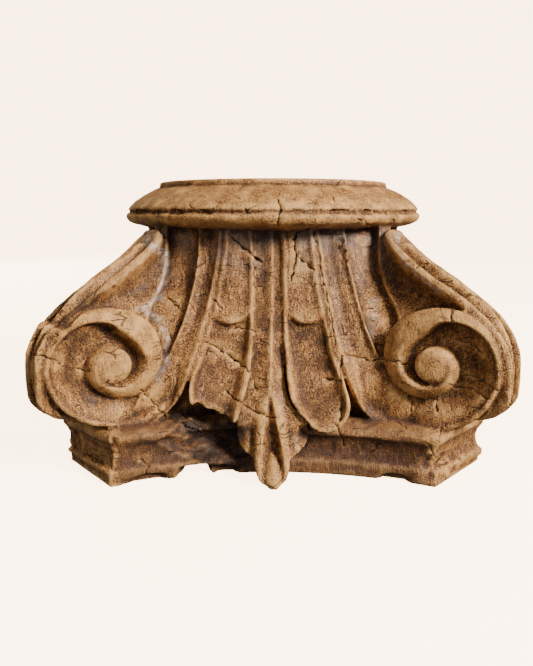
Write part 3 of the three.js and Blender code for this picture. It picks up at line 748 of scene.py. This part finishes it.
def spread(values, times):
    """Each row replaced by the mean of its neighbours' rows, so many times."""
    for _ in range(times):
        total = np.zeros_like(values)
        for column in range(values.shape[1]):
            total[:, column] = np.bincount(pairs[:, 0], values[pairs[:, 1], column], len(values))
            total[:, column] += np.bincount(pairs[:, 1], values[pairs[:, 0], column], len(values))
        values = total / links
    return values


close = spread(mm, 3)
wide = spread(close, 26)
fine_hollow = ((close - mm) * normal).sum(1)
wide_hollow = ((wide - mm) * normal).sum(1)
front_marks = np.zeros((2, len(mm)))
facing = seen(mm, normal)
for row, lines in enumerate((FRONT_BLOOM, FRONT_ROT_AND_RECESS_SHADE)):
    front_marks[row, facing] = crack_depth(to_photo(mm[facing]), lines)[0]
from_axis = np.hypot(mm[:, 0], mm[:, 1])
side_out, side_across = np.abs(mm[:, :2]).max(1), np.abs(mm[:, :2]).min(1)
on_leaf = smooth(side_across, 31, 28) * smooth(side_out, 153, 158)
# Painted shade on the upward-facing ledges under the volutes and flutes, and a darker abacus below them.
shaded_ledge = smooth(mm[:, 2], 50, 47) * smooth(normal[:, 2], 0.15, 0.5) * smooth(side_across, 52, 58)
dark_foot_and_shaded_ledge = np.maximum(smooth(mm[:, 2], 39, 36), shaded_ledge)
marks = {
    "bloom": np.clip(front_marks[0], 0, 1),
    # Black rot with painted shade in the recess under the broken foot.
    "rot_and_recess_shade": np.clip(front_marks[1], 0, 1) * smooth(mm[:, 2], 62, 50) * (1 - on_leaf),
    # A darker abacus, with painted shade on its ledges.
    "dark_foot_and_ledge_shade": (1 - on_leaf) * smooth(side_across, 124, 116) * dark_foot_and_shaded_ledge,
    # Painted shade: creases and recesses darken by how hollow each point is.
    "hollow": (np.clip(2.1 * fine_hollow - 0.15, 0, 1) * 0.85
               + np.clip(0.09 * wide_hollow - 0.14, 0, 0.45) * 0.5),
    # Wear on proud points, with a painted highlight laid on them.
    "worn": np.clip(-2.1 * fine_hollow - 0.12, 0, 1) + np.clip(-0.04 * wide_hollow - 0.1, 0, 0.12),
    "check": spread(np.clip(all_cracks(mm, normal)[0] / 2.5, 0, 1)[:, None], 1)[:, 0],
    "dust": smooth(mm[:, 2], 138, 190) * smooth(mm[:, 2], 200, 192) * smooth(from_axis, 160, 135),
}
marks["worn"] = marks["worn"] * (1 - 0.7 * marks["dark_foot_and_ledge_shade"])
# Painted shade in the quirk under the lip: a dark line along its groove.
quirk_shade = np.exp(-(((mm[:, 2] - LIP) / 1.5) ** 2)) * smooth(from_axis, 131, 134)
marks["hollow"] = np.maximum(marks["hollow"], quirk_shade * (0.75 + 0.5 * wander(mm, 22, 12)))
for name, value in marks.items():
    block.data.attributes.new(name, "FLOAT", "POINT").data.foreach_set("value", np.clip(value, 0, 1))

# Old teak: an open-grained hardwood, carved by hand, weathered and waxed. To the eye it is a satin golden
# brown where hands and cloths reach, with dark pores along an upright grain and fine checks. Painted shade
# makes the hollows dull and nearly black, and a painted highlight rides on the worn crests. Wood and wax
# both have an IOR near 1.5, so it keeps the shader's own.
GRAIN = "B98042"
EARLY_GRAIN = "8A5423"
HAIR_CHECK = "1F120A"
# Noise in the wood: the size of its lumps in mm, how far height counts in it (under 1 draws it out up the
# grain), detail, roughness and distortion. Teak's pores and fibres are about 0.3 mm wide, too fine to show
# in the render, so they are drawn at 1.1 and 1.5 mm.
NOISES = {
    "figure": (9, 0.28, 6, 0.62, 0.6), "broad": (62, 1, 3, 0.55, 0), "fibre": (1.5, 0.2, 4, 0.6, 0),
    "pores": (1.1, 1, 2, 0.5, 0), "grime": (15, 1, 6, 0.68, 0), "dark_foot_and_ledge_shade": (26, 1, 4, 0.55, 0),
    "worn": (13, 1, 4, 0.55, 0), "bloom": (3, 1, 4, 0.55, 0), "dust": (20, 1, 5, 0.55, 0),
    "hollow": (7, 1, 4, 0.55, 0), "rot_and_recess_shade": (9, 1, 5, 0.55, 0), "patches": (17, 1, 3, 0.55, 0),
}
# Layers of colour, each laid over the last: its noise, where the noise starts and ends, least and most
# cover, colour. A layer shows only where the mark of its name is, if there is one, and without a noise
# of its name it has its most cover there.
LAYERS = [
    ("broad", 0.42, 0.62, 0.0, 0.5, "8E5A2A"), ("fibre", 0.5, 0.6, 0.0, 0.7, "DAA35C"),
    ("pores", 0.5, 0.56, 0.0, 0.9, "382110"), ("grime", 0.54, 0.68, 0.0, 0.3, "54331A"),
    # Next: a darker abacus with painted shade on its ledges, then wear with a painted highlight on proud
    # points.
    ("dark_foot_and_ledge_shade", 0.3, 0.6, 0.4, 0.8, "50311E"), ("worn", 0.4, 0.62, 0.2, 0.8, "DFA964"),
    ("bloom", 0.38, 0.58, 0.15, 0.9, "D8CABA"), ("dust", 0.4, 0.62, 0.1, 0.75, "756459"),
    # Next: painted shade in the creases and recesses, then the hair checks.
    ("hollow", 0.3, 0.6, 0.55, 0.88, "301C10"), ("hair", 0.0, 1.0, 0.0, 0.6, HAIR_CHECK),
    # Next: black rot with painted shade in the recess of the broken foot, then the checks.
    ("rot_and_recess_shade", 0.25, 0.6, 0.35, 0.9, "221812"), ("check", 0.0, 1.0, 0.0, 0.92, "120A06"),
]

teak = bpy.data.materials.new("old_waxed_teak")
teak.use_nodes = True
tree = teak.node_tree
shader = tree.nodes["Principled BSDF"]


def node(kind, inputs, out=0, **settings):
    """Add a node: inputs, by name or number, take a socket or a value. Gives the output asked for."""
    made = tree.nodes.new(kind)
    for key, value in settings.items():
        setattr(made, key, value)
    for key, value in inputs.items():
        if isinstance(value, bpy.types.NodeSocket):
            tree.links.new(value, made.inputs[key])
        else:
            made.inputs[key].default_value = value
    return made.outputs[out]


def linear(code):
    """sRGB hex colour to the linear values that the shader takes."""
    parts = np.array([int(code[i:i + 2], 16) for i in (0, 2, 4)]) / 255
    return (*np.where(parts <= 0.04045, parts / 12.92, ((parts + 0.055) / 1.055) ** 2.4), 1.0)


place = node("ShaderNodeTexCoord", {}, "Object")
in_mm = node("ShaderNodeVectorMath", {0: place, 1: (1000, 1000, 1000)}, operation="MULTIPLY")
field = {}
for name, (size, up, detail, roughness, distortion) in NOISES.items():
    where = node("ShaderNodeVectorMath", {0: in_mm, 1: (1, 1, up)}, operation="MULTIPLY") if up < 1 else in_mm
    field[name] = node("ShaderNodeTexNoise", {"Vector": where, "Scale": 1 / size, "Detail": detail,
                                              "Roughness": roughness, "Distortion": distortion})

# Hair checks are thinner than 0.1 mm. They are drawn about 0.3 mm wide, as the edges of bent, leaning
# cells, broken up into patches.
wavy = node("ShaderNodeTexNoise", {"Vector": in_mm, "Scale": 1 / 12, "Detail": 3.0}, "Color")
swing = node("ShaderNodeVectorMath", {0: wavy, 1: (6, 6, 6)}, operation="MULTIPLY")
bent = node("ShaderNodeVectorMath", {0: in_mm, 1: swing}, operation="ADD")
leaning = node("ShaderNodeMapping", {"Vector": bent, "Rotation": (0.0, -0.5, 0.0), "Scale": (0.3, 0.3, 1.0)})
net = node("ShaderNodeTexVoronoi", {"Vector": leaning, "Scale": 1 / 9}, feature="DISTANCE_TO_EDGE")
edges = node("ShaderNodeMapRange", {0: net, 1: 0.0, 2: 0.035, 3: 1.0, 4: 0.0},
             interpolation_type="SMOOTHSTEP")
patches = node("ShaderNodeMapRange", {0: field["patches"], 1: 0.54, 2: 0.63},
               interpolation_type="SMOOTHSTEP")
field["hair"] = node("ShaderNodeMath", {0: edges, 1: patches}, operation="MULTIPLY")

figured = node("ShaderNodeMapRange", {0: field["figure"], 1: 0.34, 2: 0.66}, interpolation_type="SMOOTHSTEP")
wood = node("ShaderNodeMix", {0: figured, 6: linear(EARLY_GRAIN), 7: linear(GRAIN)}, 2, data_type="RGBA")
for name, low, high, least, most, colour in LAYERS:
    if name in field:
        ease = "LINEAR" if name == "hair" else "SMOOTHSTEP"
        cover = node("ShaderNodeMapRange", {0: field[name], 1: low, 2: high, 3: least, 4: most},
                     interpolation_type=ease)
    else:
        cover = most
    if name in marks:
        marked = node("ShaderNodeAttribute", {}, "Fac", attribute_name=name)
        cover = node("ShaderNodeMath", {0: marked, 1: cover}, operation="MULTIPLY")
    wood = node("ShaderNodeMix", {0: cover, 6: wood, 7: linear(colour)}, 2, data_type="RGBA")

# Roughness runs from waxed crests to dusty hollows. The bump is fibres and figure up, pores and checks down.
hollows = node("ShaderNodeAttribute", {}, "Fac", attribute_name="hollow")
dull = node("ShaderNodeMath", {0: hollows, 1: 0.5, 2: field["figure"]}, operation="MULTIPLY_ADD")
rough = node("ShaderNodeMapRange", {0: dull, 1: 0.35, 2: 1.0, 3: 0.5, 4: 0.85},
             interpolation_type="SMOOTHSTEP")
height = node("ShaderNodeMath", {0: field["fibre"], 1: 0.5}, operation="MULTIPLY")
for name, up in (("pores", -0.45), ("figure", 0.8), ("hair", -0.9)):
    height = node("ShaderNodeMath", {0: field[name], 1: up, 2: height}, operation="MULTIPLY_ADD")
relief = node("ShaderNodeBump", {"Strength": 1.0, "Distance": 0.0023, "Height": height})
tree.links.new(wood, shader.inputs["Base Color"])
tree.links.new(rough, shader.inputs["Roughness"])
tree.links.new(relief, shader.inputs["Normal"])
shader.inputs["Specular IOR Level"].default_value = 0.4
shader.inputs["Coat Weight"].default_value = 0.05
shader.inputs["Coat Roughness"].default_value = 0.35
block.data.materials.clear()
block.data.materials.append(teak)
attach(block, "root")
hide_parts("carved_capital")

# The floor and the light
# A plain pale floor that curves up all round, a soft light from the front right, a weak one from the left
# and one from behind for the other sides.
FLOOR_COLOUR = "F4ECE6"
FLOOR_GLOW = "FFDAB4"
GLOW_STRENGTH = 8.0
BOWL_FLAT = 3.0
BOWL_BEND = 1.5
BOWL_TOP = 6.0
BLOCK_MIDDLE = (0.0, 0.0, 0.1)


def backdrop():
    """Floor and wall as one bowl turned about the vertical: flat, then a quarter round, then upright."""
    bend = np.linspace(0, np.pi / 2, 20)
    run = np.concatenate([[0.01], BOWL_FLAT + BOWL_BEND * np.sin(bend), [BOWL_FLAT + BOWL_BEND]])[:, None]
    rise = np.concatenate([[0.0], BOWL_BEND - BOWL_BEND * np.cos(bend), [BOWL_TOP]])[:, None]
    turn = np.linspace(0, 2 * np.pi, 96, endpoint=False)
    return np.stack(np.broadcast_arrays(run * np.cos(turn), run * np.sin(turn), rise), -1)


sheet, strips = loft(backdrop())
floor = new_piece("floor", sheet.tolist(), [strip[::-1] for strip in strips[:-1]])
paper = bpy.data.materials.new("floor_paper")
paper.use_nodes = True
paper_shader = paper.node_tree.nodes["Principled BSDF"]
paper_shader.inputs["Base Color"].default_value = linear(FLOOR_COLOUR)
paper_shader.inputs["Roughness"].default_value = 0.9
paper_shader.inputs["Emission Color"].default_value = linear(FLOOR_GLOW)
paper_shader.inputs["Emission Strength"].default_value = GLOW_STRENGTH
floor.data.materials.append(paper)
floor.data.polygons.foreach_set("use_smooth", [True] * len(floor.data.polygons))
floor.visible_diffuse = False
floor.visible_glossy = False
floor.visible_shadow = False


def softbox(name, place, size, power, colour):
    """Square area light aimed at the middle of the block. Only the key shows in the wax."""
    light = bpy.data.lights.new(name, "AREA")
    light.size = size
    light.energy = power
    light.color = linear(colour)[:3]
    lamp = bpy.data.objects.new(name, light)
    lamp.location = place
    lamp.visible_glossy = name == "key"
    aim = np.array(BLOCK_MIDDLE) - np.array(place)
    heading = math.atan2(aim[1], aim[0]) - math.pi / 2
    lamp.rotation_euler = (math.acos(-aim[2] / np.linalg.norm(aim)), 0.0, heading)
    bpy.context.collection.objects.link(lamp)


softbox("key", (1.32, -1.12, 1.12), 0.5, 98.0, "FFFAF4")
softbox("fill", (-0.9, -2.1, 0.8), 1.6, 12.0, "F6F4FF")
softbox("back", (-1.3, 1.6, 1.1), 1.2, 50.0, "FFF8F0")
world = bpy.data.worlds.new("studio")
world.use_nodes = True
world.node_tree.nodes["Background"].inputs["Color"].default_value = linear("F7F3EE")
world.node_tree.nodes["Background"].inputs["Strength"].default_value = 0.17
bpy.context.scene.world = world
